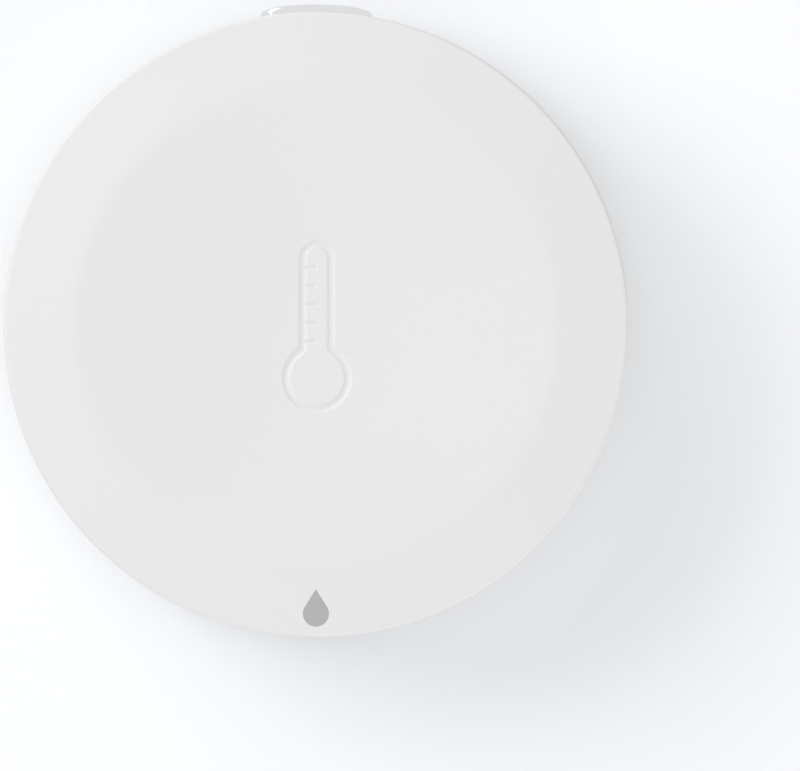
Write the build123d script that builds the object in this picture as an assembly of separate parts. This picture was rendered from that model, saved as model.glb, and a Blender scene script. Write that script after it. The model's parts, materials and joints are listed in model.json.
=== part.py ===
from build123d import *
import math
import os

# A round, battery-powered temperature and humidity sensor that is stuck to a wall by its back.
# Millimetres. The origin is the centre of the adhesive's outer face. +Z comes out of the dished
# front, and +Y points to the top of the thermometer mark, where the pairing button stands out.

full_turn = 360.0
overrun = 1.0  # how far each cutting shape runs past what it cuts
play = 0.05  # between pieces that are assembled against each other

# Front cover, outside: a shallow dish inside a falling rim, with a soft crest between them
body_diameter = 60.0
head_room = 10.95  # from the board to the sharp crest, which is then rounded
rim_width = 6.85  # from the crest to the side
dish_centre_diameter = 21.2  # inside it the cone of the dish turns into a shallow bowl
dish_slope = 6.0  # degrees
rim_slope = 6.5  # degrees
crest_rounding = 6.5
edge_chamfer = 0.3

# Front cover, inside
face_wall = 1.5  # at the middle of the dish
side_wall = 1.8
rib_count = 3
rib_start_angle = 0.0
rib_thickness = 1.2
rib_length = 6.0

# Thermometer mark: a groove along an outline, moulded into the dish
mark_groove_width = 0.85
mark_groove_depth = 0.3
mark_stem_width = 2.69  # between the middles of the two long grooves
mark_stem_top = 6.36
mark_bulb_drop = 5.12
mark_bulb_diameter = 5.95
mark_neck_rounding = 0.35
tick_count = 5
tick_pitch = 1.78
tick_top = 5.45
tick_width = 0.45
tick_length = 1.2

# Rear housing
plate_thickness = 2.2
plate_step = 0.6  # the plate's edge lies this far inside the cover's side
plate_chamfer = 1.0
seam_gap = 0.3
tab_count = 3
tab_angle = 60.0
tab_spread = 34.0
tab_wall = 1.4
tab_height = 3.8
tab_clearance = 0.15
tab_lead = 0.5
catch_depth = 0.4
catch_margin_angle = 1.0
key_width = 2.4
key_length = 2.2
key_rise = 0.3  # above the board
key_clearance = 0.15
rear_rib_inset = 0.5  # from the board's edge
rear_rib_length = 5.0

# Adhesive ring
adhesive_thickness = 0.8
adhesive_inset = 3.0  # from the cover's side
adhesive_width = 8.5

# Battery door: a bayonet lid that is turned with a coin
door_opening_margin = 3.55  # round the cell
door_ledge = 1.4  # round the opening, where the door is seated
door_clearance = 0.2
door_recess_depth = 1.0
door_chamfer = 0.25
lug_wall = 1.0
lug_count = 3
lug_angle = 90.0
lug_spread = 24.0
lug_thickness = 0.8
lug_lift = 0.1
door_twist = 35.0
notch_spread = 28.0
stop_gap_angle = 2.0
stop_spread = 4.0
stop_depth = 1.5
coin_slot_length = 18.0
coin_slot_width = 2.2
coin_slot_depth = 0.5

# Coin cell, its holder and its two spring contacts
cell_diameter = 24.5
cell_height = 5.0
cell_clearance = 0.3
cell_cap_diameter = 21.8
cell_cap_rise = 0.3
contact_space = 0.5
holder_floor = 0.5
holder_clearance = 0.2
holder_wall = 1.75
holder_gap = 0.3  # above the door's lugs
holder_sides = 8
strip_thickness = 0.2
strip_width = 4.0
strip_bend = 0.4
strip_gap = 0.03
strip_slot_clearance = 0.2
positive_foot = 1.6
positive_lean = 0.75
positive_tail = 0.4
negative_half_length = 5.6
negative_foot = 1.6
negative_tip_half_length = 1.2

# Main board and what it carries
board_gap = 2.2  # inside the cover's wall
board_thickness = 1.0
isolation_slot_width = 1.0
isolation_slot_length = 3.0
isolation_slot_half_span = 4.2

# Pairing button
button_width = 10.8
button_height = 5.0
button_corner = 1.6
button_proud = 0.8
button_chamfer = 0.3
button_window_clearance = 0.2
button_flange_margin = 1.2
button_flange_thickness = 0.8
button_flange_gap = 0.1
button_shell = 0.9
actuator_width = 3.0
actuator_height = 2.6
guide_thickness = 1.0
guide_clearance = 0.4
guide_length = 3.7
guide_lift = 0.3  # above the board
guide_rise = 1.2  # above the flange

# Side switch behind the button
press_gap = 0.03
switch_setback = 5.8  # of its face from the cover's side
switch_width = 6.0
switch_depth = 3.6
switch_height = 3.5
plunger_width = 2.4
plunger_height = 1.4
plunger_proud = 0.8
plunger_pocket_depth = 2.0
plunger_back_gap = 0.4
plunger_clearance = 0.1
frame_sheet = 0.2
frame_setback = 0.3
frame_leg_gap = 0.6

# Humidity sensor and its chamber behind the vents
chamber_depth = 9.0  # from the cover's side
chamber_wall = 1.0
chamber_margin = 0.45  # beside the first and the last vent
chamber_roof_gap = 0.6  # above the vents
sensor_gasket_thickness = 0.5
vent_count = 7
vent_pitch = 1.7
vent_width = 0.9
vent_height = 4.2
vent_lift = 0.4
sensor_setback = 6.5  # of its middle from the cover's side
sensor_size = 2.5
sensor_height = 0.9
sensor_opening_diameter = 1.0
sensor_opening_depth = 0.4

# Status light behind the face
led_gap = 5.1  # from its middle to the side switch
led_length = 2.0
led_width = 1.25
led_height = 0.8
pipe_width = 2.4
pipe_head_width = 3.6
pipe_head_height = 0.6
pipe_gap = 0.2
sleeve_wall = 0.85
light_face = 0.7

# Radio module
radio_length = 19.0
radio_width = 15.0
radio_thickness = 0.8
antenna_space = 7.0  # left free of the shield
shield_width = 14.0
shield_height = 2.0
shield_sheet = 0.2
antenna_turns = 4
antenna_trace = 0.6
antenna_thickness = 0.1
antenna_pitch = 1.5
antenna_reach = 4.2

# Other parts on the board
controller_size = 5.0
controller_height = 0.8
crystal_length = 3.2
crystal_width = 1.5
crystal_height = 0.8
regulator_length = 2.9
regulator_width = 1.6
regulator_height = 1.1
regulator_lead_width = 0.4
regulator_lead_pitch = 0.95
regulator_lead_reach = 0.6
regulator_lead_thickness = 0.15
bulk_length = 7.3
bulk_width = 4.3
bulk_height = 2.8
chip_corner = 0.2
passive_length = 1.6
passive_width = 0.8
passive_height = 0.7
resistor_height = 0.45

# Where those parts lie, as shares of the board's radius
radio_place_share = 0.423077
controller_place_shares = (0.36, -0.14)
crystal_place_shares = (0.36, -0.40)
regulator_place_shares = (0.62, 0.22)
bulk_place_shares = (0.30, 0.30)
capacitor_place_shares = (
    (0.56, -0.30), (0.56, -0.18), (0.56, -0.06), (0.56, 0.06),
    (0.18, -0.06), (0.18, -0.22), (-0.10, -0.52), (0.02, -0.52),
)
resistor_place_shares = (
    (0.70, -0.20), (0.70, -0.08), (0.70, 0.04), (-0.22, 0.56), (-0.22, 0.68), (0.24, 0.60),
)

# Radii
body_radius = body_diameter / 2
dish_radius = body_radius - rim_width
dish_centre_radius = dish_centre_diameter / 2
skirt_radius = body_radius - side_wall
plate_radius = body_radius - plate_step
tab_radius = skirt_radius - tab_clearance
adhesive_radius = body_radius - adhesive_inset
cell_radius = cell_diameter / 2
door_opening_radius = cell_radius + door_opening_margin
door_recess_radius = door_opening_radius + door_ledge
door_radius = door_recess_radius - door_clearance
lug_root_radius = door_opening_radius - door_clearance
holder_inner_radius = cell_radius + holder_clearance
holder_outer_radius = holder_inner_radius + holder_wall
board_radius = skirt_radius - board_gap
catch_pocket_radius = tab_radius + catch_depth + tab_clearance
button_face_radius = body_radius + button_proud
flange_outer_radius = skirt_radius - button_flange_gap
flange_inner_radius = flange_outer_radius - button_flange_thickness
switch_distance = body_radius - switch_setback
sensor_distance = body_radius - sensor_setback
chamber_start = body_radius - chamber_depth
led_distance = switch_distance - switch_depth - led_gap
radio_offset = radio_place_share * board_radius
shield_length = radio_length - antenna_space
chamber_width = (vent_count - 1) * vent_pitch + vent_width + 2 * chamber_margin

# Levels above the wall
dish_fall = math.tan(math.radians(dish_slope))
rim_fall = math.tan(math.radians(rim_slope))
bowl_rise = dish_centre_radius * math.tan(math.radians(dish_slope / 2))
ball_radius = dish_centre_radius / math.sin(math.radians(dish_slope))
rear_face = adhesive_thickness
plate_top = rear_face + plate_thickness
cover_bottom = plate_top + seam_gap
tab_top = plate_top + tab_height
catch_top = tab_top - tab_lead
catch_bottom = catch_top - 2 * catch_depth
door_seat = rear_face + door_recess_depth
door_bottom = rear_face + play
door_top = door_seat - play
lug_bottom = plate_top + lug_lift
lug_top = lug_bottom + lug_thickness
cell_bottom = door_top + cell_clearance
cell_top = cell_bottom + cell_height
holder_bottom = lug_top + holder_gap
holder_top = cell_top + contact_space
board_bottom = holder_top + holder_floor
board_top = board_bottom + board_thickness
crest_height = board_top + head_room
dish_floor = crest_height - (dish_radius - dish_centre_radius) * dish_fall - bowl_rise
button_level = board_top + switch_height / 2
chamber_bottom = board_top + sensor_gasket_thickness
chamber_ceiling = board_top + vent_lift + vent_height + chamber_roof_gap
pipe_bottom = board_top + led_height + pipe_gap
sleeve_bottom = pipe_bottom + pipe_head_height + play
face_at_led = dish_floor + bowl_rise + (led_distance - dish_centre_radius) * dish_fall
sleeve_top = face_at_led - light_face

rising = (Align.CENTER, Align.CENTER, Align.MIN)


def around(start, count):
    """Directions evenly spread round the axis."""
    return [start + number * full_turn / count for number in range(count)]


rib_angles = around(rib_start_angle, rib_count)
tab_angles = around(tab_angle, tab_count)
lug_angles = around(lug_angle, lug_count)


def post(radius, bottom, top, place=(0, 0)):
    """An upright cylinder."""
    return Pos(*place, bottom) * Cylinder(radius, top - bottom, align=rising)


def ring(outer, inner, bottom, top, place=(0, 0)):
    """An upright tube."""
    return Pos(*place, bottom) * extrude(Circle(outer) - Circle(inner), top - bottom)


def block(length, width, bottom, top, place=(0, 0)):
    """An upright block, with its length along X."""
    return Pos(*place, bottom) * Box(length, width, top - bottom, align=rising)


def sector(outer, inner, middle, spread, bottom, top):
    """A stretch of an upright tube, spread degrees wide about its middle direction."""
    far = CenterArc((0, 0), outer, middle - spread / 2, spread)
    near = CenterArc((0, 0), inner, middle - spread / 2, spread)
    outline = far + Line(far @ 1, near @ 1) + near + Line(near @ 0, far @ 0)
    return Pos(0, 0, bottom) * extrude(make_face(outline), top - bottom)


def rounded(shape, point, radius):
    """A section with the corner nearest to a point rounded."""
    corner = shape.vertices().sort_by_distance((*point, 0))[0]
    return fillet(corner, radius)


def round_edges(shape):
    """The circular edges of a solid, from the lowest to the highest."""
    return shape.edges().filter_by(GeomType.CIRCLE).sort_by(Axis.Z)


def side_plane(start, level):
    """A plane across Y at a level, facing away from the axis."""
    return Plane(origin=(0, start, level), x_dir=(1, 0, 0), z_dir=(0, math.copysign(1, start), 0))


def sideways(profile, start, end, level):
    """A profile in x and z pushed along Y from one distance to another."""
    return extrude(side_plane(start, level) * profile, abs(end - start))


def bowl_ball(drop):
    """The ball whose underside forms the middle of the dish, drop below the face."""
    return Pos(0, 0, dish_floor - drop + ball_radius) * Rot(full_turn / 4, 0, 0) * Sphere(ball_radius)


def face_solid():
    """The cover as a full solid: the falling rim, the rounded crest, the dish and the side."""
    bowl_edge = (dish_centre_radius, dish_floor + bowl_rise)
    crest = (dish_radius, crest_height)
    shoulder = (body_radius, crest_height - (body_radius - dish_radius) * rim_fall)
    foot = (body_radius, cover_bottom)
    outline = Polyline((0, cover_bottom), (0, bowl_edge[1]), bowl_edge, crest, shoulder, foot, close=True)
    section = rounded(make_face(outline), crest, crest_rounding)
    section = chamfer(section.vertices().sort_by_distance((*shoulder, 0))[0], edge_chamfer)
    return revolve(Plane.XZ * section, Axis.Z) - bowl_ball(0)


def thermometer(margin):
    """The thermometer's outline, moved out by a margin, with rounded necks over the bulb."""
    height = mark_stem_top + mark_bulb_drop
    half = mark_stem_width / 2 + margin
    bulb_radius = mark_bulb_diameter / 2 + margin
    stem = Pos(0, mark_stem_top - height / 2) * Rectangle(2 * half, height)
    outline = stem + Pos(0, mark_stem_top) * Circle(half) + Pos(0, -mark_bulb_drop) * Circle(bulb_radius)
    neck = math.sqrt(bulb_radius**2 - half**2) - mark_bulb_drop
    for side in (-1, 1):
        outline = rounded(outline, (side * half, neck), mark_neck_rounding + mark_groove_width / 2 - margin)
    return outline


def mark_outline():
    """The grooves of the mark, seen from the front: the outline and the ticks inside it."""
    half = mark_groove_width / 2
    outline = thermometer(half) - thermometer(-half)
    tick = SlotCenterToCenter(tick_length, tick_width)
    tick_x = (tick_length - mark_stem_width) / 2
    for number in range(tick_count):
        outline += Pos(tick_x, tick_top - number * tick_pitch) * tick
    return outline


def mark_groove():
    """The cutting shape of the mark, of one depth below the curved face."""
    bottom = dish_floor - mark_groove_depth - overrun
    prism = Pos(0, 0, bottom) * extrude(mark_outline(), crest_height - bottom)
    return prism & bowl_ball(mark_groove_depth)


def chamber_walls():
    """The U-shaped wall and the roof that part the humidity sensor from the inside."""
    width = chamber_width + 2 * chamber_wall
    length = body_radius - chamber_start
    outer_length = length + chamber_wall
    roof = chamber_ceiling + chamber_wall
    walls = block(width, outer_length, chamber_bottom, roof, (0, outer_length / 2 - body_radius))
    bottom = chamber_bottom - overrun
    return walls - block(chamber_width, length, bottom, chamber_ceiling, (0, length / 2 - body_radius))


def button_guides():
    """The two ribs beside the button's flange."""
    x = button_width / 2 + button_flange_margin + guide_clearance + guide_thickness / 2
    y = skirt_radius + (overrun - guide_length) / 2
    size = (guide_thickness, guide_length + overrun)
    top = button_level + button_height / 2 + button_flange_margin + guide_rise
    return [block(*size, board_top + guide_lift, top, (side * x, y)) for side in (-1, 1)]


def cover_core():
    """The hollow of the front cover, less all that stands in it."""
    core = post(skirt_radius, cover_bottom - overrun, dish_floor - face_wall)
    rib_place = (skirt_radius + (overrun - rib_length) / 2, 0)
    rib = block(rib_length + overrun, rib_thickness, board_top, crest_height, rib_place)
    for angle in rib_angles:
        core -= Rot(0, 0, angle) * rib
    core -= chamber_walls()
    core -= button_guides()
    sleeve = pipe_width + 2 * (play + sleeve_wall)
    return core - block(sleeve, sleeve, sleeve_bottom, crest_height, (0, led_distance))


def vents():
    """The upright slots in the side beside the humidity sensor."""
    level = board_top + vent_lift + vent_height / 2
    slot = Rectangle(vent_width, vent_height)
    first = -(vent_count - 1) / 2 * vent_pitch
    profile = Sketch() + [Pos(first + k * vent_pitch, 0) * slot for k in range(vent_count)]
    return sideways(profile, -chamber_start - overrun, -body_radius - overrun, level)


def button_profile(margin):
    """The button's outline in its window, moved out by a margin."""
    return RectangleRounded(button_width + 2 * margin, button_height + 2 * margin, button_corner + margin)


def front_cover():
    cover = face_solid() - cover_core()
    window = button_profile(button_window_clearance)
    cover -= sideways(window, board_radius, body_radius + overrun, button_level)
    cover -= vents()
    pocket_spread = tab_spread + 2 * catch_margin_angle
    pocket = (catch_bottom - tab_clearance, catch_top + tab_clearance)
    for angle in tab_angles:
        cover -= sector(catch_pocket_radius, skirt_radius - overrun, angle, pocket_spread, *pocket)
    pipe_hole = pipe_width + 2 * play
    cover -= block(pipe_hole, pipe_hole, sleeve_bottom - overrun, sleeve_top, (0, led_distance))
    return cover - mark_groove()


def door_stops(direction):
    """The two ribs that end the twist of one lug."""
    half = (lug_spread + stop_spread) / 2 + stop_gap_angle
    inner = door_recess_radius - stop_depth
    middles = (direction + half, direction - door_twist - half)
    return [sector(door_recess_radius, inner, middle, stop_spread, plate_top, lug_top) for middle in middles]


def tab(direction):
    """A tab that centres the cover's side and snaps into it with its catch."""
    inner_radius = tab_radius - tab_wall
    outline = Polyline(
        (tab_radius, plate_top), (tab_radius, catch_bottom),
        (tab_radius + catch_depth, catch_bottom + catch_depth),
        (tab_radius, catch_top), (tab_radius - tab_lead, tab_top),
        (inner_radius, tab_top), (inner_radius, plate_top), close=True,
    )
    section = Rot(0, 0, direction - tab_spread / 2) * (Plane.XZ * make_face(outline))
    return revolve(section, Axis.Z, tab_spread)


def board_key(direction, margin):
    """The rib inside a tab that holds the board's edge in its notch, widened by a margin."""
    outer = tab_radius - tab_wall + play
    length = key_length + margin
    key = block(length, key_width + 2 * margin, plate_top, board_top + key_rise, (outer - length / 2, 0))
    return Rot(0, 0, direction) * key


def rear_housing():
    housing = post(plate_radius, rear_face, plate_top)
    housing = chamfer(round_edges(housing)[0], plate_chamfer)
    for angle in tab_angles:
        housing += tab(angle)
        housing += board_key(angle, 0)
    rib_place = (board_radius - rear_rib_inset - rear_rib_length / 2, 0)
    rib = block(rear_rib_length, rib_thickness, plate_top, board_bottom, rib_place)
    for angle in rib_angles:
        housing += Rot(0, 0, angle) * rib
    through = (rear_face - overrun, plate_top + overrun)
    housing -= post(door_recess_radius, rear_face - overrun, door_seat)
    housing -= post(door_opening_radius, *through)
    for angle in lug_angles:
        housing -= sector(door_recess_radius, lug_root_radius, angle - door_twist, notch_spread, *through)
    for angle in lug_angles:
        housing += door_stops(angle)
    return housing


def adhesive_ring():
    return ring(adhesive_radius, adhesive_radius - adhesive_width, 0, adhesive_thickness)


def battery_door():
    door = post(door_radius, door_bottom, door_top)
    door = chamfer(round_edges(door)[0], door_chamfer)
    root = lug_root_radius - lug_wall
    for angle in lug_angles:
        door += sector(lug_root_radius, root, angle, lug_spread, door_bottom + door_chamfer, lug_top)
        door += sector(door_radius, root, angle, lug_spread, lug_bottom, lug_top)
    slot = extrude(SlotOverall(coin_slot_length, coin_slot_width), overrun + coin_slot_depth)
    return door - Pos(0, 0, door_bottom - overrun) * slot


def pairing_button():
    cap = sideways(button_profile(0), board_radius, button_face_radius + overrun, button_level)
    cap &= ring(button_face_radius, flange_inner_radius, 0, crest_height)
    cap = chamfer(cap.faces().sort_by(Axis.Y)[-1].edges(), button_chamfer)
    margins = 2 * button_flange_margin
    flange = Rectangle(button_width + margins, button_height + margins)
    flange = sideways(flange, board_radius, body_radius, button_level)
    cap += flange & ring(flange_outer_radius, flange_inner_radius, 0, crest_height)
    hollow_end = math.sqrt(button_face_radius**2 - (button_width / 2)**2) - button_shell
    cap -= sideways(button_profile(-button_shell), board_radius, hollow_end, button_level)
    stem_start = switch_distance + plunger_proud + press_gap
    stem = Rectangle(actuator_width, actuator_height)
    return cap + sideways(stem, stem_start, hollow_end + play, button_level)


def switch_body():
    back = switch_distance - switch_depth
    body = sideways(Rectangle(switch_width, switch_height), back, switch_distance, button_level)
    pocket = Rectangle(plunger_width + 2 * plunger_clearance, plunger_height + 2 * plunger_clearance)
    pocket_floor = switch_distance - plunger_pocket_depth
    return body - sideways(pocket, pocket_floor, switch_distance + overrun, button_level)


def switch_frame():
    """The sheet-metal bracket over the switch."""
    inner_width = switch_width + 2 * play
    outer_width = inner_width + 2 * frame_sheet
    leg_bottom = board_top + frame_leg_gap
    top = board_top + switch_height + play
    start = switch_distance - switch_depth + frame_setback
    length = switch_depth - 2 * frame_setback
    place = (0, start + length / 2)
    sheet = block(outer_width, length, leg_bottom, top + frame_sheet, place)
    return sheet - block(inner_width, length + 2 * overrun, leg_bottom - overrun, top, place)


def switch_plunger():
    back = switch_distance - plunger_pocket_depth + plunger_back_gap
    front = switch_distance + plunger_proud
    return sideways(Rectangle(plunger_width, plunger_height), back, front, button_level)


def main_board():
    board = post(board_radius, board_bottom, board_top)
    for angle in tab_angles:
        board -= board_key(angle, key_clearance)
    through = (board_bottom - overrun, board_top + overrun)
    for side in (-1, 1):
        place = (side * isolation_slot_half_span, -sensor_distance)
        board -= block(isolation_slot_width, isolation_slot_length, *through, place)
    return board


def battery_holder():
    """The ring round the cell and the floor against the board, open at both contacts."""
    turn = full_turn / holder_sides / 2
    frame = RegularPolygon(holder_outer_radius, holder_sides, major_radius=False, rotation=turn)
    holder = Pos(0, 0, holder_bottom) * extrude(frame, board_bottom - holder_bottom)
    holder -= post(holder_inner_radius, holder_bottom - overrun, holder_top)
    slot_width = strip_width + 2 * strip_slot_clearance
    outer_slot = holder_outer_radius - holder_inner_radius + 2 * overrun
    slot_x = (holder_inner_radius + holder_outer_radius) / 2
    holder -= block(outer_slot, slot_width, holder_bottom - overrun, board_bottom + overrun, (slot_x, 0))
    inner_slot = 2 * (negative_half_length + strip_slot_clearance)
    return holder - block(inner_slot, slot_width, holder_top - overrun, board_bottom + overrun)


def strip(points):
    """A bent spring strip across Y, from the points of its middle line in x and z."""
    line = FilletPolyline(*points, radius=strip_bend)
    sheet = Plane.XZ * trace(line, strip_thickness)
    return extrude(sheet, strip_width / 2, both=True)


def positive_contact():
    foot_level = board_bottom - strip_thickness / 2
    touch = cell_radius + strip_gap + strip_thickness / 2
    bend = touch + positive_lean
    return strip([
        (holder_outer_radius + positive_foot, foot_level),
        (bend, foot_level),
        (bend, cell_top),
        (touch, (cell_bottom + cell_top) / 2),
        (bend, holder_bottom + positive_tail),
    ])


def negative_contact():
    foot_level = board_bottom - strip_thickness / 2
    touch = cell_top + strip_gap + strip_thickness / 2
    knee = negative_half_length - negative_foot
    return strip([
        (-negative_half_length, foot_level),
        (-knee, foot_level),
        (-negative_tip_half_length, touch),
        (negative_tip_half_length, touch),
        (knee, foot_level),
        (negative_half_length, foot_level),
    ])


def coin_cell_can():
    return post(cell_radius, cell_bottom, cell_top - cell_cap_rise)


def coin_cell_cap():
    return post(cell_cap_diameter / 2, cell_top - cell_cap_rise, cell_top)


def radio_board():
    return block(radio_length, radio_width, board_top, board_top + radio_thickness, (-radio_offset, 0))


def radio_shield():
    """The metal can over the radio's chips."""
    bottom = board_top + radio_thickness
    place = (-radio_offset + (radio_length - shield_length) / 2 - shield_sheet, 0)
    can = block(shield_length, shield_width, bottom, bottom + shield_height, place)
    can = fillet(can.edges().group_by(Axis.Z)[-1], shield_sheet)
    inside = (shield_length - 2 * shield_sheet, shield_width - 2 * shield_sheet)
    return can - block(*inside, bottom - overrun, bottom + shield_height - shield_sheet, place)


def radio_antenna():
    """The folded copper track at the end of the radio board."""
    left = -radio_offset - radio_length / 2 + antenna_trace
    y = -antenna_turns * antenna_pitch + antenna_pitch / 2
    points = [(left, y)]
    for turn in range(2 * antenna_turns):
        x = left + antenna_reach if turn % 2 == 0 else left
        points += [(x, y), (x, y + antenna_pitch)]
        y += antenna_pitch
    points = points[:-1]
    track = trace(Polyline(*points), antenna_trace)
    return Pos(0, 0, board_top + radio_thickness) * extrude(track, antenna_thickness)


def on_board(length, width, height, shares):
    """A block on the board, placed by shares of the board's radius."""
    place = [share * board_radius for share in shares]
    return block(length, width, board_top, board_top + height, place)


def controller_chip():
    chip = on_board(controller_size, controller_size, controller_height, controller_place_shares)
    return chamfer(chip.edges().group_by(Axis.Z)[-1], chip_corner)


def crystal_can():
    can = on_board(crystal_length, crystal_width, crystal_height, crystal_place_shares)
    return chamfer(can.edges().filter_by(Axis.Z), chip_corner)


def voltage_regulator():
    """A small regulator with two leads on one side and one on the other."""
    body = on_board(regulator_length, regulator_width, regulator_height, regulator_place_shares)
    x, y = (share * board_radius for share in regulator_place_shares)
    reach = regulator_width / 2 + regulator_lead_reach
    lead_top = board_top + regulator_lead_thickness
    for lead_x, side in ((-regulator_lead_pitch, -1), (regulator_lead_pitch, -1), (0, 1)):
        place = (x + lead_x, y + side * reach / 2)
        body += block(regulator_lead_width, reach, board_top, lead_top, place)
    return body


def bulk_capacitor():
    can = on_board(bulk_length, bulk_width, bulk_height, bulk_place_shares)
    return chamfer(can.edges().group_by(Axis.Z)[-1], chip_corner)


def chip_capacitors():
    size = (passive_length, passive_width, passive_height)
    return Part() + [on_board(*size, shares) for shares in capacitor_place_shares]


def chip_resistors():
    size = (passive_length, passive_width, resistor_height)
    return Part() + [on_board(*size, shares) for shares in resistor_place_shares]


def sensor_chip():
    chip = block(sensor_size, sensor_size, board_top, board_top + sensor_height, (0, -sensor_distance))
    top = board_top + sensor_height
    opening_floor = top - sensor_opening_depth
    return chip - post(sensor_opening_diameter / 2, opening_floor, top + overrun, (0, -sensor_distance))


def sensor_gasket():
    """The foam strip between the chamber's wall and the board."""
    width = chamber_width + 2 * chamber_wall
    length = board_radius - chamber_start + chamber_wall
    y = chamber_wall - chamber_start - length / 2
    outer = block(width, length, board_top, chamber_bottom, (0, y))
    inside = (chamber_width, length, board_top - overrun, chamber_bottom + overrun)
    return (outer - block(*inside, (0, y - chamber_wall))) & post(board_radius, board_top, chamber_bottom)


def status_led():
    top = board_top + led_height
    led = block(led_length, led_width, board_top, top, (0, led_distance))
    return chamfer(led.edges().group_by(Axis.Z)[-1], chip_corner)


def light_pipe():
    place = (0, led_distance)
    head = block(pipe_head_width, pipe_head_width, pipe_bottom, pipe_bottom + pipe_head_height, place)
    return head + block(pipe_width, pipe_width, pipe_bottom, sleeve_top - pipe_gap, place)


PIECES = (
    front_cover, rear_housing, adhesive_ring, battery_door, pairing_button,
    switch_body, switch_frame, switch_plunger, main_board, battery_holder,
    positive_contact, negative_contact, coin_cell_can, coin_cell_cap,
    radio_board, radio_shield, radio_antenna, controller_chip, crystal_can,
    voltage_regulator, bulk_capacitor, chip_capacitors, chip_resistors,
    sensor_chip, sensor_gasket, status_led, light_pipe,
)

os.makedirs("parts", exist_ok=True)
for piece in PIECES:
    export_step(piece(), f"parts/{piece.__name__}.step")
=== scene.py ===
import json
import math

import bmesh
import bpy
import numpy as np
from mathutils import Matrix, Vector


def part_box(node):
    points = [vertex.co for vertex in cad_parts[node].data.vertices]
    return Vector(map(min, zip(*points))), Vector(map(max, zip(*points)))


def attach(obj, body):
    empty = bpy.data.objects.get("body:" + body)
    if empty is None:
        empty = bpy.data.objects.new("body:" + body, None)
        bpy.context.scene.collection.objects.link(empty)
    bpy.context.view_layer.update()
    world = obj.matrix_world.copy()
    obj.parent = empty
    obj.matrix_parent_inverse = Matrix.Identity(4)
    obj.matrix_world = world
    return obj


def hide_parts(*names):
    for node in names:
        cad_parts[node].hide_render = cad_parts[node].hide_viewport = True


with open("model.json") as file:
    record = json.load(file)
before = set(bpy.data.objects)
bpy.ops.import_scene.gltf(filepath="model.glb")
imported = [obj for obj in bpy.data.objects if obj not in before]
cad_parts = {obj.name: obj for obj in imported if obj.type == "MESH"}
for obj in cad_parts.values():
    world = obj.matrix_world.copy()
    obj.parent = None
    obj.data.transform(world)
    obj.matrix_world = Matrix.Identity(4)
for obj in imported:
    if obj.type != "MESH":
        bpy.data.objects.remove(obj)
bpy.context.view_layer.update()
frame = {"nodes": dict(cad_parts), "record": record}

# The looks of a temperature humidity sensor, which lies on a white floor and is seen square to its
# face. Sizes are in millimetres, in the part's own frame, and MM turns them into Blender's metres.

MM = 0.001

# The cover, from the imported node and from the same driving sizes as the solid
cover_low, cover_high = (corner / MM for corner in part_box("front_cover"))
body_radius = (cover_high.x - cover_low.x) / 2
cover_bottom = cover_low.z
crest_height = 20.0
rim_width = 6.85
dish_centre_radius = 10.6
dish_slope = math.radians(6.0)
rim_slope = math.radians(6.5)
crest_rounding = 6.5
shoulder_rounding = 0.4
side_wall = 1.8
face_wall = 1.5
inner_radius = body_radius - side_wall

# Thermometer groove
groove_half_width = 0.44
groove_wall = 0.32
groove_depth = 0.16
groove_shift = 0.1  # the photograph shows it this far right of the middle
stem_half_width = 1.345
stem_top = 6.36
bulb_drop = 5.12
bulb_radius = 2.975
neck_blend = 0.45
tick_count = 5
tick_pitch = 1.78
tick_top = 5.45
tick_length = 1.2
tick_half_width = 0.27
tick_wall = 0.24
tick_depth = 0.15

# The fine mesh of the face. A guard is the way from the end of a rounding to the ring that
# keeps it from shading further, and shares say where the rings between two roundings lie.
cell = 0.08
patch_half_width = 4.0
patch_top = 8.0
patch_bottom = -8.8
patch_rings = 8
guard = 0.06
rounding_steps = 10
dish_ring_shares = (0, 0.02, 0.35, 0.7)
rim_ring_shares = (0.33, 0.67)
lid_lean = 0.9  # the least upward part of a normal on the flat lid that the fine face replaces

# Side: vents, button window, catches
board_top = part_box("main_board")[1].z / MM
vent_count = 7
vent_pitch = 1.7
vent_width = 0.9
vent_lift = 0.4
vent_height = 4.2
window_clearance = 0.2
tab_angles = (60, 180, 300)
pocket_spread = 36.0
pocket_depth = 0.4
pocket_bottom = 5.35
pocket_top = 6.45

# Behind the side, as in the solid
chamber_half_width = 6.0
chamber_start = 21.0
chamber_height = 5.2
chamber_lift = 0.5
inner_wall = 1.0
rib_angles = (0, 120, 240)
rib_thickness = 1.2
rib_length = 6.0
guide_x = 7.5
guide_length = 3.7
guide_lift = 0.3
guide_rise = 1.2
pipe_low, pipe_high = (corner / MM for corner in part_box("light_pipe"))
pipe_half_width = 1.25
pipe_head_room = 0.2
sleeve_wall = 0.85
sleeve_lift = 0.65

# The button
button_low, button_high = (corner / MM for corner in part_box("pairing_button"))
button_level = (button_low.z + button_high.z) / 2
button_width = 10.8
button_height = 5.0
button_corner = 1.6
button_rounding = 0.3
button_steps = 8
button_skirt = 1.0  # from the face to the ring that ends the fine part of the sides
button_end_length = 2.4
button_end_fall = 0.28
button_face_shares = (0.85, 0.6, 0.35, 0.1)
button_shell = 0.9
button_flange_margin = 1.2
button_flange_thickness = 0.8
button_flange_gap = 0.1
button_stem_width = 3.0
button_stem_height = 2.6
button_stem_bury = 0.05

# The foam ring and the foam strip
adhesive_hole_radius = 18.5
foam_draw = 0.12
foam_steps = 6
foam_columns = 256
foam_sharp_edge = 40
board_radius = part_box("main_board")[1].x / MM
seal_edge = 0.12
seal_edge_steps = 3

# The printed drop
drop_radius = 1.25
drop_tip = 2.35
drop_centre = -27.75
drop_lift = 0.01
drop_steps = 40
drop_rings = (0.02, 0.35, 0.7, 1.0)

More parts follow.
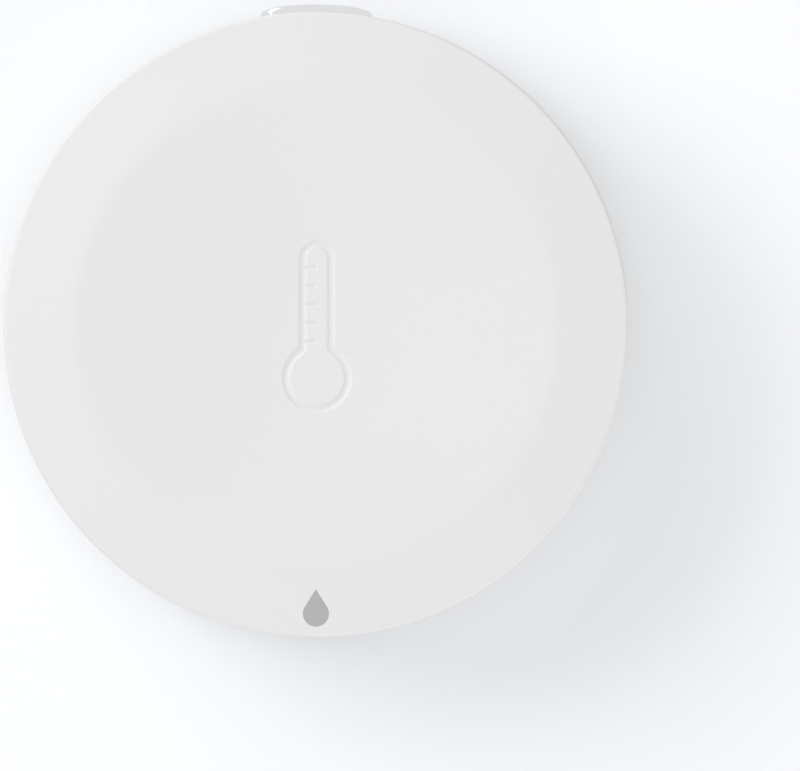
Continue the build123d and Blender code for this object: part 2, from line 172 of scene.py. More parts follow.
# Rear: the door's marks. Each one is drawn in from its base to its face. An arrow's turns are
# in degrees from its middle: its tip and head lie one way and its tail the other.
door_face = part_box("battery_door")[0].z / MM
plate_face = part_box("rear_housing")[0].z / MM
door_twist = 35.0
mark_height = 0.22
mark_draft = 0.1
mark_sink = 0.02
mark_distance = 17.85
mark_steps = 32
dot_radius = 0.42
ring_bore = 0.2
pointer_tip = 16.45
pointer_length = 1.5
pointer_half_width = 0.85
pointer_foot_ratio = 1.6  # of the draft, by which the corners at its foot are drawn in
pointer_tip_ratio = 2.0
arrow_radius = 14.6
arrow_tip_turn = 16
arrow_head_turn = 9
arrow_tail_turn = 14
arrow_half_width = 0.2
arrow_head_half_width = 0.62
arrow_draft = 0.06
arrow_turn_draft = 1.0
arrow_head_ratio = 1.5

top_direction = 90  # degrees from +X to the thermometer's top, the button and the closed mark
bury = 0.9  # how far an inner wall is sunk into what carries it
overrun = 1.0
weld = 0.0005
sharp_edge = 30  # the least angle in degrees that stays sharp in the shading


# --- Outlines, solids and meshes ----------------------------------------------------------------

def box_outline(x0, x1, y0, y1):
    return [(x0, y0), (x1, y0), (x1, y1), (x0, y1)]


def turned_outline(outline, angle):
    c, s = math.cos(math.radians(angle)), math.sin(math.radians(angle))
    return [(x * c - y * s, x * s + y * c) for x, y in outline]


def sector_outline(outer, inner, middle, spread, steps=24):
    """The outline of a stretch of a ring about its middle direction, in degrees."""
    angles = [math.radians(middle + spread * (k / steps - 0.5)) for k in range(steps + 1)]
    far = [(outer * math.cos(a), outer * math.sin(a)) for a in angles]
    near = [(inner * math.cos(a), inner * math.sin(a)) for a in reversed(angles)]
    return far + near


def rounded_outline(width, height, corner, steps=10, pieces=1):
    """A rounded rectangle round the origin, anticlockwise, its long sides cut in pieces."""
    outline = []
    for quarter, (sx, sy) in enumerate(((1, 1), (-1, 1), (-1, -1), (1, -1))):
        cx, cy = sx * (width / 2 - corner), sy * (height / 2 - corner)
        for k in range(steps + 1):
            a = math.pi / 2 * (quarter + k / steps)
            outline.append((cx + corner * math.cos(a), cy + corner * math.sin(a)))
        if quarter % 2 == 0:
            x, y = outline[-1]
            outline += [(x - 2 * cx * k / pieces, y) for k in range(1, pieces)]
    return outline


def disc_outline(radius, distance, angle):
    """A circle whose middle lies at a distance from the axis, in a direction in degrees."""
    x, y = distance * math.cos(math.radians(angle)), distance * math.sin(math.radians(angle))
    turns = [2 * math.pi * k / mark_steps for k in range(mark_steps)]
    return [(x + radius * math.cos(a), y + radius * math.sin(a)) for a in turns]


def rings_to_faces(count, rings):
    """Quads between closed rings of equal count that follow each other."""
    faces = []
    for ring in range(rings - 1):
        low = ring * count
        for k in range(count):
            n = (k + 1) % count
            faces.append((low + k, low + n, low + count + n, low + count + k))
    return faces


def closed_faces(count, rings):
    """The same quads, with a face over either end."""
    first, last = range(count), range((rings - 1) * count, rings * count)
    return rings_to_faces(count, rings) + [tuple(reversed(first)), tuple(last)]


def flipped(faces):
    return [tuple(reversed(face)) for face in faces]


def prism(outline, bottom, top):
    """Points and faces of an upright prism over an anticlockwise outline."""
    points = [(x, y, z) for z in (bottom, top) for x, y in outline]
    return points, closed_faces(len(outline), 2)


def turned_solid(profile, count, x=0, y=0):
    """Points and faces of a closed profile of radius and height, turned about an upright axis."""
    turns = [2 * math.pi * k / count for k in range(count)]
    points = [(x + r * math.cos(a), y + r * math.sin(a), z) for r, z in profile for a in turns]
    faces = rings_to_faces(count, len(profile))
    end = (len(profile) - 1) * count
    faces += [(end + k, end + (k + 1) % count, (k + 1) % count, k) for k in range(count)]
    return points, faces


def towards_button(outline, start, end):
    """A prism along Y over an outline in x and height above the button's level."""
    points, faces = prism([(x, -z) for x, z in reversed(outline)], start, end)
    return [(x, y, button_level - z) for x, z, y in points], faces


def to_mesh(name, points, faces):
    """A mesh from points in millimetres."""
    mesh = bpy.data.meshes.new(name)
    mesh.from_pydata([(x * MM, y * MM, z * MM) for x, y, z in points], [], faces)
    mesh.validate()
    mesh.update()
    return mesh


def merged(solids):
    """One mesh of several closed solids."""
    points, faces = [], []
    for more_points, more_faces in solids:
        shift = len(points)
        points += more_points
        faces += [tuple(shift + k for k in face) for face in more_faces]
    return to_mesh("solids", points, faces)


def cleaned(mesh):
    """The mesh without doubled points and without faces that have no area."""
    work = bmesh.new()
    work.from_mesh(mesh)
    bmesh.ops.remove_doubles(work, verts=work.verts, dist=weld * MM)
    bmesh.ops.dissolve_degenerate(work, edges=work.edges, dist=weld * MM)
    work.to_mesh(mesh)
    work.free()
    return mesh


def smoothed(mesh, sharp_from=sharp_edge):
    """The mesh with soft shading, but for edges sharper than an angle in degrees."""
    mesh.shade_smooth()
    mesh.set_sharp_from_angle(angle=math.radians(sharp_from))
    return mesh


def combined(mesh, operation, *solids):
    """The mesh after a boolean with closed solids that don't touch each other."""
    base, tool = (bpy.data.objects.new("operand", data) for data in (mesh, merged(solids)))
    for operand in (base, tool):
        bpy.context.scene.collection.objects.link(operand)
    modifier = base.modifiers.new("combine", "BOOLEAN")
    modifier.operation, modifier.object, modifier.solver = operation, tool, "EXACT"
    view = bpy.context.evaluated_depsgraph_get()
    result = bpy.data.meshes.new_from_object(base.evaluated_get(view))
    for operand in (base, tool):
        bpy.data.objects.remove(operand)
    return result


# --- The cover's face ---------------------------------------------------------------------------

crest_radius = body_radius - rim_width
ball_radius = dish_centre_radius / math.sin(dish_slope)
dish_floor = (
    crest_height - (crest_radius - dish_centre_radius) * math.tan(dish_slope)
    - dish_centre_radius * math.tan(dish_slope / 2)
)


def bowl_height(r):
    """The bowl in the middle of the dish."""
    fall = np.sqrt(ball_radius**2 - np.minimum(r, dish_centre_radius)**2)
    return dish_floor + ball_radius - fall


def capsule_distance(x, y, x0, x1, y0, y1, radius):
    """The distance to a round-ended bar along one axis."""
    dx = x - np.clip(x, x0, x1)
    dy = y - np.clip(y, y0, y1)
    return np.hypot(dx, dy) - radius


def soft_step(t):
    """A smooth rise from 0 to 1."""
    t = np.clip(t, 0, 1)
    return t * t * (3 - 2 * t)


def groove(x, y):
    """How deep the thermometer's grooves are at a place."""
    x = x - groove_shift
    stem = capsule_distance(x, y, 0, 0, -bulb_drop, stem_top, stem_half_width)
    bulb = capsule_distance(x, y, 0, 0, -bulb_drop, -bulb_drop, bulb_radius)
    blend = np.clip(0.5 + 0.5 * (bulb - stem) / neck_blend, 0, 1)
    outline = bulb * (1 - blend) + stem * blend - neck_blend * blend * (1 - blend)
    deep = groove_depth * soft_step((groove_half_width - np.abs(outline)) / groove_wall)
    for number in range(tick_count):
        level = tick_top - number * tick_pitch
        start = -stem_half_width
        away = capsule_distance(x, y, start, start + tick_length, level, level, 0)
        deep = np.maximum(deep, tick_depth * soft_step((tick_half_width - away) / tick_wall))
    return deep


def rounding(centre, radius, lean, turn):
    """Points of the profile on an arc, from a lean off the upright and on by a turn."""
    leans = [lean + turn * k / rounding_steps for k in range(rounding_steps + 1)]
    return [centre + radius * Vector((math.sin(a), math.cos(a))) for a in leans]


def face_profile():
    """Radius and height from the edge of the bowl to the side, with both roundings."""
    crest = Vector((crest_radius, crest_height))
    along_dish = Vector((math.cos(dish_slope), math.sin(dish_slope)))
    along_rim = Vector((math.cos(rim_slope), -math.sin(rim_slope)))
    reach = crest_rounding * math.tan((dish_slope + rim_slope) / 2)
    start, end = crest - reach * along_dish, crest + reach * along_rim
    bowl_top = dish_floor + dish_centre_radius * math.tan(dish_slope / 2)
    bowl_edge = Vector((dish_centre_radius, bowl_top))
    profile = [bowl_edge.lerp(start, t) for t in dish_ring_shares]
    profile.append(start - guard * along_dish)
    centre = start + crest_rounding * Vector((math.sin(dish_slope), -math.cos(dish_slope)))
    profile += rounding(centre, crest_rounding, -dish_slope, dish_slope + rim_slope)
    profile.append(end + guard * along_rim)

    corner = Vector((body_radius, crest_height - rim_width * math.tan(rim_slope)))
    turn = math.pi / 2 - rim_slope
    reach = shoulder_rounding * math.tan(turn / 2)
    start = corner - reach * along_rim
    profile += [(end + guard * along_rim).lerp(start, t) for t in rim_ring_shares]
    profile.append(start - guard * along_rim)
    centre = Vector((body_radius - shoulder_rounding, corner.y - reach))
    profile += rounding(centre, shoulder_rounding, rim_slope, turn)
    profile.append(Vector((body_radius, centre.y - guard)))
    return profile


def face_patch():
    """The grid over the thermometer, as rows of points, and its rim, anticlockwise."""
    columns = round(2 * patch_half_width / cell)
    rows = round((patch_top - patch_bottom) / cell)
    x, y = np.meshgrid(
        np.linspace(-patch_half_width, patch_half_width, columns + 1),
        np.linspace(patch_bottom, patch_top, rows + 1),
    )
    z = bowl_height(np.hypot(x, y)) - groove(x, y)
    points = np.stack([x, y, z], axis=-1).reshape(-1, 3).tolist()
    wide = columns + 1
    faces = [
        (r * wide + c, r * wide + c + 1, (r + 1) * wide + c + 1, (r + 1) * wide + c)
        for r in range(rows) for c in range(columns)
    ]
    rim = list(range(columns))
    rim += [r * wide + columns for r in range(rows)]
    rim += [rows * wide + c for c in range(columns, 0, -1)]
    rim += [r * wide for r in range(rows, 0, -1)]
    return points, faces, rim


def face_and_angles():
    """The whole outer face down to the top of the side, and the directions of its columns."""
    points, faces, rim = face_patch()
    count = len(rim)
    corners = np.array([points[k][:2] for k in rim])
    begin = math.atan2(patch_bottom, -patch_half_width)
    angles = begin + 2 * math.pi * np.arange(count) / count
    circle = dish_centre_radius * np.stack([np.cos(angles), np.sin(angles)], axis=1)
    rings = []
    for ring in range(1, patch_rings + 1):
        flat = corners + (circle - corners) * ring / patch_rings
        heights = bowl_height(np.hypot(flat[:, 0], flat[:, 1]))
        rings.append(np.column_stack([flat, heights]).tolist())
    for r, z in face_profile()[1:]:
        rings.append([(r * math.cos(a), r * math.sin(a), z) for a in angles])

    last = rim
    for ring in rings:
        new = list(range(len(points), len(points) + count))
        points += ring
        faces += [
            (last[k], new[k], new[(k + 1) % count], last[(k + 1) % count]) for k in range(count)
        ]
        last = new
    return points, faces, angles


# --- The cover's side and inside ----------------------------------------------------------------

ceiling = dish_floor - face_wall
roof = ceiling + bury
chamber_roof = board_top + chamber_height
pipe_y = (pipe_low.y + pipe_high.y) / 2
sleeve_bottom = pipe_low.z + sleeve_lift


def cup_mesh(angles, top):
    """The plain cup under the fine face, with a flat lid that the face replaces."""
    levels = (
        (body_radius, top),
        (body_radius, cover_bottom),
        (inner_radius, cover_bottom),
        (inner_radius, ceiling),
    )
    points = [(r * math.cos(a), r * math.sin(a), z) for r, z in levels for a in angles]
    return to_mesh("cover", points, flipped(closed_faces(len(angles), len(levels))))


def inner_walls():
    """The ribs over the board, the button's guides, the chamber and the light's sleeve."""
    rib = box_outline(inner_radius - rib_length, inner_radius + bury,
                      -rib_thickness / 2, rib_thickness / 2)
    walls = [prism(turned_outline(rib, angle), board_top, roof) for angle in rib_angles]
    guide_top = button_level + button_height / 2 + button_flange_margin + guide_rise
    for side in (-1, 1):
        guide = box_outline(side * guide_x - inner_wall / 2, side * guide_x + inner_wall / 2,
                            inner_radius - guide_length, inner_radius)
        walls.append(prism(guide, board_top + guide_lift, guide_top))
    outer_half = chamber_half_width + inner_wall
    chamber = box_outline(-outer_half, outer_half, -inner_radius - bury, inner_wall - chamber_start)
    walls.append(prism(chamber, board_top + chamber_lift, chamber_roof + inner_wall))
    half = pipe_half_width + sleeve_wall
    walls.append(prism(box_outline(-half, half, pipe_y - half, pipe_y + half), sleeve_bottom, roof))
    return walls


def inner_cuts():
    """The hollows of the chamber and the sleeve, the button's window and the catch pockets."""
    chamber = box_outline(-chamber_half_width, chamber_half_width, -inner_radius, -chamber_start)
    sleeve = box_outline(-pipe_half_width, pipe_half_width,
                         pipe_y - pipe_half_width, pipe_y + pipe_half_width)
    window = rounded_outline(button_width + 2 * window_clearance,
                             button_height + 2 * window_clearance,
                             button_corner + window_clearance)
    cuts = [
        prism(chamber, board_top - overrun, chamber_roof),
        prism(sleeve, sleeve_bottom - overrun, pipe_high.z + pipe_head_room),
        towards_button(window, inner_radius - overrun, body_radius + overrun),
    ]
    for angle in tab_angles:
        pocket = sector_outline(inner_radius + pocket_depth, inner_radius - overrun,
                                angle, pocket_spread)
        cuts.append(prism(pocket, pocket_bottom, pocket_top))
    return cuts


def vent_cuts():
    """The row of upright slots in the side, which lead to the chamber."""
    first = -(vent_count - 1) / 2 * vent_pitch
    bottom = board_top + vent_lift
    cuts = []
    for number in range(vent_count):
        x = first + number * vent_pitch
        vent = box_outline(x - vent_width / 2, x + vent_width / 2,
                           -body_radius - overrun, -inner_radius + overrun / 2)
        cuts.append(prism(vent, bottom, bottom + vent_height))
    return cuts


def cover_mesh():
    """The cover: the fine face joined to the side with its vents, window and inner walls."""
    points, faces, angles = face_and_angles()
    top = points[-1][2]
    mesh = combined(cup_mesh(angles, top), "UNION", *inner_walls())
    mesh = combined(mesh, "DIFFERENCE", *inner_cuts())
    mesh = smoothed(combined(mesh, "DIFFERENCE", *vent_cuts()))

    face = to_mesh("face", points, faces)
    face.shade_smooth()
    joined = bmesh.new()
    joined.from_mesh(mesh)
    lid = [
        f for f in joined.faces
        if f.normal.z > lid_lean and f.calc_center_median().z > (top - guard) * MM
    ]
    bmesh.ops.delete(joined, geom=lid, context="FACES_ONLY")
    joined.from_mesh(face)
    bmesh.ops.remove_doubles(joined, verts=joined.verts, dist=weld * MM)
    joined.to_mesh(mesh)
    joined.free()
    return mesh


# --- The button ---------------------------------------------------------------------------------

def button_front(x):
    """How far out the button's face lies, which falls back a little towards its ends."""
    past = abs(x) - button_width / 2 + button_end_length
    end = np.clip(past / button_end_length, 0, 1)
    return math.sqrt(button_high.y**2 - x * x) - button_end_fall * end**2


def button_mesh():
    """The plated button: a cap with a rounded edge, its flange and the stem to the switch."""
    back = body_radius - 2 * side_wall
    # How far each loop is drawn in and how far it lies behind the face, with None for the back
    loops = [(0, None), (0, button_skirt), (0, button_rounding + guard)]
    for k in range(button_steps + 1):
        a = math.pi / 2 * k / button_steps
        loops.append((button_rounding * (1 - math.cos(a)), button_rounding * (1 - math.sin(a))))
    loops.append((button_rounding + guard, 0))
    points = []
    for inset, drop in loops:
        outline = rounded_outline(button_width - 2 * inset, button_height - 2 * inset,
                                  button_corner - inset, steps=12, pieces=24)
        for x, z in outline:
            y = back if drop is None else button_front(x) - drop
            points.append((x, y, button_level + z))
    for share in button_face_shares:
        for x, z in outline:
            points.append((x * share, button_front(x * share), button_level + z * share))
    rings = len(loops) + len(button_face_shares)
    mesh = to_mesh("button", points, flipped(closed_faces(len(outline), rings)))

    flange_outer = inner_radius - button_flange_gap
    flange_x = button_width / 2 + button_flange_margin
    flange_z = button_height / 2 + button_flange_margin
    spread = 2 * math.degrees(math.asin(flange_x / flange_outer))
    flange_inner = flange_outer - button_flange_thickness
    flange = sector_outline(flange_outer, flange_inner, top_direction, spread)
    mesh = combined(mesh, "UNION", prism(flange, button_level - flange_z, button_level + flange_z))
    hollow_end = button_front(button_width / 2) - button_shell
    hollow = rounded_outline(button_width - 2 * button_shell, button_height - 2 * button_shell,
                             button_corner - button_shell)
    mesh = combined(mesh, "DIFFERENCE", towards_button(hollow, back - overrun, hollow_end))
    stem = box_outline(-button_stem_width / 2, button_stem_width / 2,
                       -button_stem_height / 2, button_stem_height / 2)
    stem_end = hollow_end + button_stem_bury
    mesh = combined(mesh, "UNION", towards_button(stem, button_low.y, stem_end))
    return smoothed(cleaned(mesh))


# --- The adhesive ring, the seal, the printed drop and the rear's marks -------------------------

def adhesive_mesh():
    """The foam ring, with its cut edges drawn in a little."""
    foam_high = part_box("adhesive_ring")[1] / MM
    shares = [k / foam_steps for k in range(foam_steps + 1)]
    outer = [(foam_high.x - foam_draw * math.sin(math.pi * t), foam_high.z * t) for t in shares]
    inner = [
        (adhesive_hole_radius + foam_draw * math.sin(math.pi * t), foam_high.z * (1 - t))
        for t in shares
    ]
    mesh = to_mesh("adhesive", *turned_solid(outer + inner, foam_columns))
    return smoothed(mesh, foam_sharp_edge)


def seal_mesh():
    """The foam strip round the sensor's chamber, with soft edges, open towards the vents."""
    low, high = (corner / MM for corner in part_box("sensor_gasket"))
    outer, inner = high.x, high.x - inner_wall
    back = high.y - inner_wall
    arc = (inner, (inner + outer) / 2, outer)
    ends = [(x, -math.sqrt(board_radius**2 - x * x)) for x in arc]
    outline = [(-x, y) for x, y in reversed(ends)] + [(-inner, back), (inner, back)]
    outline += ends + [(outer, high.y), (-outer, high.y)]
    strip = bpy.data.objects.new("strip", to_mesh("seal", *prism(outline, low.z, high.z)))
    bpy.context.scene.collection.objects.link(strip)
    bevel = strip.modifiers.new("soft", "BEVEL")
    bevel.limit_method, bevel.width, bevel.segments = "ANGLE", seal_edge * MM, seal_edge_steps
    view = bpy.context.evaluated_depsgraph_get()
    mesh = bpy.data.meshes.new_from_object(strip.evaluated_get(view))
    bpy.data.objects.remove(strip)
    return smoothed(mesh)


def drop_mesh():
    """A plain water drop, point up, printed on the rim below the thermometer."""
    lean = math.acos(drop_radius / drop_tip)
    turns = [
        math.pi / 2 + lean + 2 * (math.pi - lean) * k / drop_steps for k in range(drop_steps + 1)
    ]
    outline = [(drop_radius * math.cos(a), drop_radius * math.sin(a)) for a in turns]
    outline.append((0, drop_tip))

    def ring(share, lift):
        for x, y in outline:
            x, y = x * share, drop_centre + y * share
            fall = (math.hypot(x, y) - crest_radius) * math.tan(rim_slope)
            yield x, y, crest_height - fall + lift

    points = [point for share in drop_rings for point in ring(share, drop_lift)]
    points += ring(1, -drop_lift)
    return to_mesh("drop", points, flipped(closed_faces(len(outline), len(drop_rings) + 1)))


def raised_mark(full, drawn_in, base):
    """A mark that stands out of the rear: its outline at the base and, drawn in, at its face."""
    points = [(x, y, base - mark_height) for x, y in drawn_in]
    points += [(x, y, base + mark_sink) for x, y in full]
    return points, closed_faces(len(full), 2)


def arrow_outline(middle, turn_draft, draft, steps=24):
    """A curved arrow about a middle direction, drawn in by degrees lengthwise and by mm across."""
    def at(r, angle):
        return (r * math.cos(math.radians(angle)), r * math.sin(math.radians(angle)))

    tip = middle - arrow_tip_turn + turn_draft
    head = middle - arrow_head_turn + turn_draft / 3
    tail = middle + arrow_tail_turn - turn_draft / 3
    half_width = arrow_half_width - draft
    head_half_width = arrow_head_half_width - arrow_head_ratio * draft
    shaft = [head + (tail - head) * k / steps for k in range(steps + 1)]
    outer = [at(arrow_radius + half_width, angle) for angle in shaft]
    inner = [at(arrow_radius - half_width, angle) for angle in reversed(shaft)]
    outer_barb, inner_barb = (at(arrow_radius + side * head_half_width, head) for side in (1, -1))
    return [at(arrow_radius, tip), outer_barb, *outer, *inner, inner_barb]


def door_marks_mesh():
    """The door's pointer and the two curved arrows that show which way it opens."""
    half, foot = pointer_half_width, pointer_tip - pointer_length
    inner_half = half - pointer_foot_ratio * mark_draft
    inner_foot = foot + mark_draft
    inner_tip = pointer_tip - pointer_tip_ratio * mark_draft
    full = [(-half, foot), (half, foot), (0, pointer_tip)]
    drawn_in = [(-inner_half, inner_foot), (inner_half, inner_foot), (0, inner_tip)]
    solids = [raised_mark(full, drawn_in, door_face)]
    for middle in (0, 180):
        full = arrow_outline(middle, 0, 0)
        drawn_in = arrow_outline(middle, arrow_turn_draft, arrow_draft)
        solids.append(raised_mark(full, drawn_in, door_face))
    return merged(solids)


def plate_marks_mesh():
    """The two marks on the plate beside the door: a filled dot for closed, a ring for open."""
    dot = [
        disc_outline(dot_radius - inset, mark_distance, top_direction) for inset in (0, mark_draft)
    ]
    low, high = plate_face - mark_height, plate_face + mark_sink
    profile = (
        (dot_radius - mark_draft, low),
        (dot_radius, high),
        (ring_bore, high),
        (ring_bore, low),
    )
    angle = math.radians(top_direction - door_twist)
    ring = turned_solid(profile, mark_steps,
                        mark_distance * math.cos(angle), mark_distance * math.sin(angle))
    return merged([raised_mark(*dot, plate_face), ring])


# --- Materials ----------------------------------------------------------------------------------

fine_detail = 3.0
broad_detail = 5.0
roughness_spread = 0.08


def link(tree, source, output, target, entry):
    tree.links.new(source.outputs[output], target.inputs[entry])


def noise(tree, mapping, size, detail):
    """A noise whose patches are about a size in mm."""
    texture = tree.nodes.new("ShaderNodeTexNoise")
    texture.inputs["Scale"].default_value = 1 / (size * MM)
    texture.inputs["Detail"].default_value = detail
    link(tree, mapping, "Vector", texture, "Vector")
    return texture


def surface(name, colour, roughness, metallic=0.0, grain=0.25, depth=0.002, mottle=0.02,
            patch=3.0, stretch=(1, 1, 1), **sockets):
    """A procedural finish. Grain and patch are the sizes in mm of its bumps and its blotches."""
    material = bpy.data.materials.new(name)
    material.use_nodes = True
    tree = material.node_tree
    shader = tree.nodes["Principled BSDF"]
    place = tree.nodes.new("ShaderNodeTexCoord")
    mapping = tree.nodes.new("ShaderNodeMapping")
    mapping.inputs["Scale"].default_value = stretch
    link(tree, place, "Object", mapping, "Vector")

    bump = tree.nodes.new("ShaderNodeBump")
    bump.inputs["Distance"].default_value = depth * MM
    bump.inputs["Strength"].default_value = 1.0
    link(tree, noise(tree, mapping, grain, fine_detail), "Fac", bump, "Height")
    link(tree, bump, "Normal", shader, "Normal")

    broad = noise(tree, mapping, patch, broad_detail)
    mix = tree.nodes.new("ShaderNodeMix")
    mix.data_type = "RGBA"
    for entry, side in (("A", -1), ("B", 1)):
        shade = [min(1.0, c * (1 + side * mottle)) for c in colour]
        mix.inputs[entry].default_value = (*shade, 1.0)
    link(tree, broad, "Fac", mix, "Factor")
    link(tree, mix, "Result", shader, "Base Color")
    spread = tree.nodes.new("ShaderNodeMapRange")
    spread.inputs["To Min"].default_value = roughness * (1 - roughness_spread)
    spread.inputs["To Max"].default_value = min(1.0, roughness * (1 + roughness_spread))
    link(tree, broad, "Fac", spread, "Value")
    link(tree, spread, "Result", shader, "Roughness")
    shader.inputs["Metallic"].default_value = metallic
    for socket, value in sockets.items():
        shader.inputs[socket.replace("_", " ")].default_value = value
    return material


FINISHES = {
    "cover_plastic": dict(colour=(0.862, 0.864, 0.868), roughness=0.5, grain=0.18, depth=0.0012,
                          mottle=0.004, Specular_IOR_Level=0.27),
    "housing_plastic": dict(colour=(0.80, 0.802, 0.806), roughness=0.5, grain=0.2, depth=0.004,
                            mottle=0.01),
    "adhesive_foam": dict(colour=(0.80, 0.79, 0.77), roughness=0.85, grain=0.16, depth=0.03,
                          mottle=0.05, patch=0.5),
    "button_chrome": dict(colour=(0.73, 0.735, 0.74), roughness=0.09, metallic=1.0, grain=0.8,
                          depth=0.0004, mottle=0.01),
    "black_plastic": dict(colour=(0.03, 0.03, 0.032), roughness=0.5, grain=0.2, depth=0.004,
                          mottle=0.1),
    "sheet_steel": dict(colour=(0.62, 0.62, 0.63), roughness=0.32, metallic=1.0, grain=0.3,
                        depth=0.002, stretch=(1, 12, 1)),
    "board_green": dict(colour=(0.02, 0.15, 0.065), roughness=0.3, grain=0.35, depth=0.006,
                        mottle=0.25, patch=1.2),
    "contact_nickel": dict(colour=(0.68, 0.66, 0.60), roughness=0.28, metallic=1.0,
                           stretch=(1, 10, 1)),
    "cell_metal": dict(colour=(0.66, 0.66, 0.67), roughness=0.23, metallic=1.0,
                       stretch=(1, 14, 1)),
    "antenna_copper": dict(colour=(0.72, 0.45, 0.20), roughness=0.3, metallic=1.0),
    "chip_black": dict(colour=(0.025, 0.025, 0.027), roughness=0.55, grain=0.12, depth=0.006,
                       mottle=0.15),
    "crystal_metal": dict(colour=(0.70, 0.69, 0.66), roughness=0.28, metallic=1.0,
                          stretch=(1, 8, 1)),
    "tantalum_case": dict(colour=(0.62, 0.40, 0.10), roughness=0.5, grain=0.15, depth=0.005,
                          mottle=0.05),
    "chip_ceramic": dict(colour=(0.45, 0.34, 0.24), roughness=0.6, grain=0.1, depth=0.004,
                         mottle=0.1, patch=0.4),
    "sensor_package": dict(colour=(0.10, 0.10, 0.11), roughness=0.3, grain=0.1, depth=0.002,
                           mottle=0.05),
    "gasket_foam": dict(colour=(0.05, 0.05, 0.05), roughness=0.95, grain=0.12, depth=0.03,
                        mottle=0.2, patch=0.4),
    "led_resin": dict(colour=(0.85, 0.83, 0.70), roughness=0.2, grain=0.4, depth=0.001),
    "pipe_clear": dict(colour=(0.90, 0.92, 0.93), roughness=0.08, grain=0.6, depth=0.001,
                       Transmission_Weight=0.9),
}
materials = {slot: surface(slot, **finish) for slot, finish in FINISHES.items()}
grey_print = surface("grey_print", colour=(0.47, 0.47, 0.48), roughness=0.5, grain=0.1,
                     depth=0.001, mottle=0.03, patch=0.6)

for row in frame["record"]["subparts"]:
    node = frame["nodes"][row["node"]]
    for number in range(max(1, len(node.data.materials))):
        if len(node.data.materials) <= number:
            node.data.materials.append(materials[row["material_slot"]])
        else:
            node.data.materials[number] = materials[row["material_slot"]]


# --- Pieces -------------------------------------------------------------------------------------

def to_piece(name, mesh, body, slot, *replaced, material=None):
    """An object that rides on a body and stands for the nodes that it replaces."""
    piece = bpy.data.objects.new(name, mesh)
    bpy.context.scene.collection.objects.link(piece)
    piece.data.materials.clear()
    piece.data.materials.append(material or materials[slot])
    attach(piece, body)
    if replaced:
        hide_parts(*replaced)
    return piece


to_piece("cover_shell", cover_mesh(), "case", "cover_plastic", "front_cover")
to_piece("button_cap", button_mesh(), "button", "button_chrome", "pairing_button")
foam = to_piece("foam_ring", adhesive_mesh(), "case", "adhesive_foam", "adhesive_ring")
to_piece("humidity_mark", drop_mesh(), "case", "cover_plastic", material=grey_print)
to_piece("door_marks", door_marks_mesh(), "door", "housing_plastic")
to_piece("plate_marks", plate_marks_mesh(), "case", "housing_plastic")
seal = to_piece("chamber_seal", seal_mesh(), "case", "gasket_foam", "sensor_gasket")


# --- Floor, light and camera --------------------------------------------------------------------

floor_half = 3.0  # metres
floor_drop = 0.02  # keeps the floor clear of the adhesive's face
floor_colour = (0.913, 0.93, 0.952, 1)
floor_glow = 0.124
white = (1, 1, 1, 1)
studio_light = 0.578
studio_seen = 1.0
lamp_distance = 1.2  # metres
photo_width, photo_height = 800, 771
outline_centre = (315.9, 324.3)  # the sensor's outline in the photograph, in pixels
outline_radius = 312.7
sensor_width = 36.0
camera_distance = 2000.0
camera_reach = 10.0  # metres


def seen_rays(tree):
    """A node that is 1 for rays that show the background: straight, mirrored or through glass."""
    light_path = tree.nodes.new("ShaderNodeLightPath")
    mirrored = tree.nodes.new("ShaderNodeMath")
    seen = tree.nodes.new("ShaderNodeMath")
    mirrored.operation = seen.operation = "MAXIMUM"
    link(tree, light_path, "Is Glossy Ray", mirrored, 0)
    link(tree, light_path, "Is Transmission Ray", mirrored, 1)
    link(tree, light_path, "Is Camera Ray", seen, 0)
    link(tree, mirrored, 0, seen, 1)
    return seen


def floor_paper():
    """Matt white paper with a slight glow of its own, clear when seen from below."""
    paper = bpy.data.materials.new("floor_white")
    paper.use_nodes = True
    tree = paper.node_tree
    shader = tree.nodes["Principled BSDF"]
    shader.inputs["Base Color"].default_value = floor_colour
    shader.inputs["Roughness"].default_value = 1.0
    shader.inputs["Specular IOR Level"].default_value = 0.0
    shader.inputs["Emission Color"].default_value = white
    glow = tree.nodes.new("ShaderNodeMath")
    glow.operation = "MULTIPLY"
    glow.inputs[1].default_value = floor_glow
    link(tree, seen_rays(tree), 0, glow, 0)
    link(tree, glow, 0, shader, "Emission Strength")
    clear = tree.nodes.new("ShaderNodeBsdfTransparent")
    sides = tree.nodes.new("ShaderNodeMixShader")
    facing = tree.nodes.new("ShaderNodeNewGeometry")
    link(tree, facing, "Backfacing", sides, 0)
    link(tree, shader, 0, sides, 1)
    link(tree, clear, 0, sides, 2)
    link(tree, sides, 0, tree.nodes["Material Output"], "Surface")
    return paper


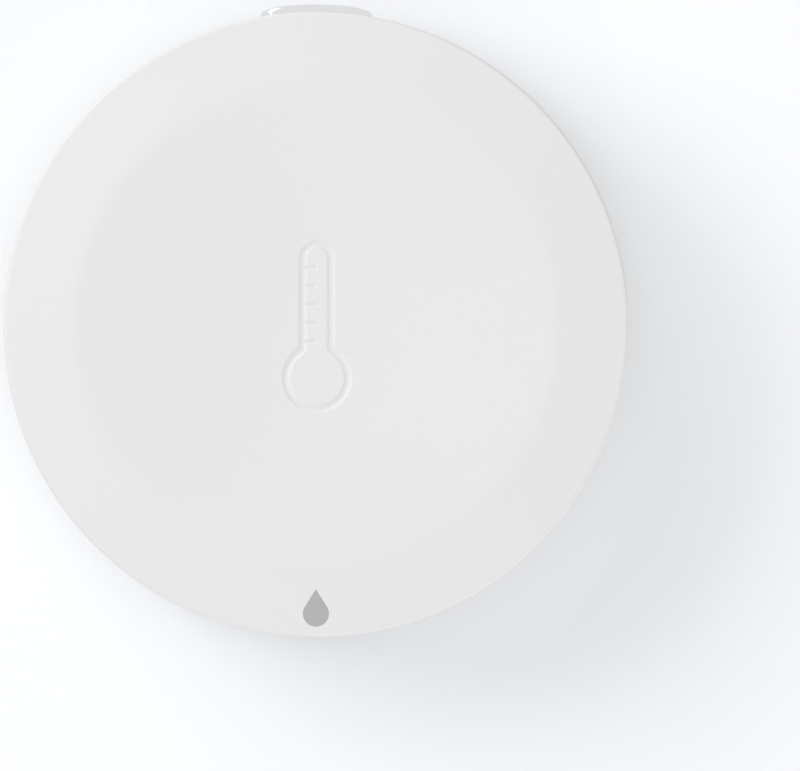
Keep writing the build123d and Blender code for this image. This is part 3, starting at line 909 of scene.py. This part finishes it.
def white_studio():
    """An even white room, which lights the sensor less than it shows."""
    world = bpy.data.worlds.new("studio")
    world.use_nodes = True
    tree = world.node_tree
    background = tree.nodes["Background"]
    background.inputs["Color"].default_value = white
    strength = tree.nodes.new("ShaderNodeMix")
    strength.inputs["A"].default_value = studio_light
    strength.inputs["B"].default_value = studio_seen
    link(tree, seen_rays(tree), 0, strength, "Factor")
    link(tree, strength, "Result", background, "Strength")
    return world


def area_light(name, towards, size, power):
    """A square lamp, its side in metres, that shines on the sensor from a direction."""
    lamp = bpy.data.lights.new(name, "AREA")
    lamp.shape = "SQUARE"
    lamp.size = size
    lamp.energy = power
    holder = bpy.data.objects.new(name, lamp)
    bpy.context.scene.collection.objects.link(holder)
    direction = Vector(towards).normalized()
    holder.location = direction * lamp_distance
    holder.rotation_mode = "QUATERNION"
    holder.rotation_quaternion = direction.to_track_quat("Z", "Y")
    holder.visible_camera = False


def add_camera():
    """The camera over the face, placed so that the outline lies as in the photograph."""
    shoulder_height = crest_height - rim_width * math.tan(rim_slope)
    pixel = body_radius / outline_radius
    data = bpy.data.cameras.new("camera")
    data.sensor_fit = "HORIZONTAL"
    data.sensor_width = sensor_width
    data.lens = sensor_width * camera_distance / (photo_width * pixel)
    data.clip_end = camera_reach
    camera = bpy.data.objects.new("camera", data)
    camera.location = (
        (photo_width / 2 - outline_centre[0]) * pixel * MM,
        (outline_centre[1] - photo_height / 2) * pixel * MM,
        (shoulder_height + camera_distance) * MM,
    )
    bpy.context.scene.collection.objects.link(camera)
    bpy.context.scene.camera = camera


corners = box_outline(-floor_half, floor_half, -floor_half, floor_half)
mesh = bpy.data.meshes.new("floor")
mesh.from_pydata([(x, y, -floor_drop * MM) for x, y in corners], [], [(0, 1, 2, 3)])
floor = bpy.data.objects.new("floor", mesh)
bpy.context.scene.collection.objects.link(floor)
floor.visible_diffuse = False
floor.visible_shadow = False
floor.data.materials.append(floor_paper())

bpy.context.scene.world = white_studio()
area_light("key", towards=(-0.75, 0.35, 0.70), size=0.6, power=3.6)
area_light("high", towards=(-0.5, 0.5, 0.8), size=0.8, power=2.1)
area_light("back", towards=(-0.48, 0.84, 0.27), size=0.8, power=2.0)
area_light("low", towards=(0.55, -0.82, 0.14), size=1.0, power=6.0)
area_light("glint", towards=(0.05, -0.72, 0.69), size=0.11, power=0.25)
add_camera()
bpy.context.scene.view_settings.view_transform = "Standard"
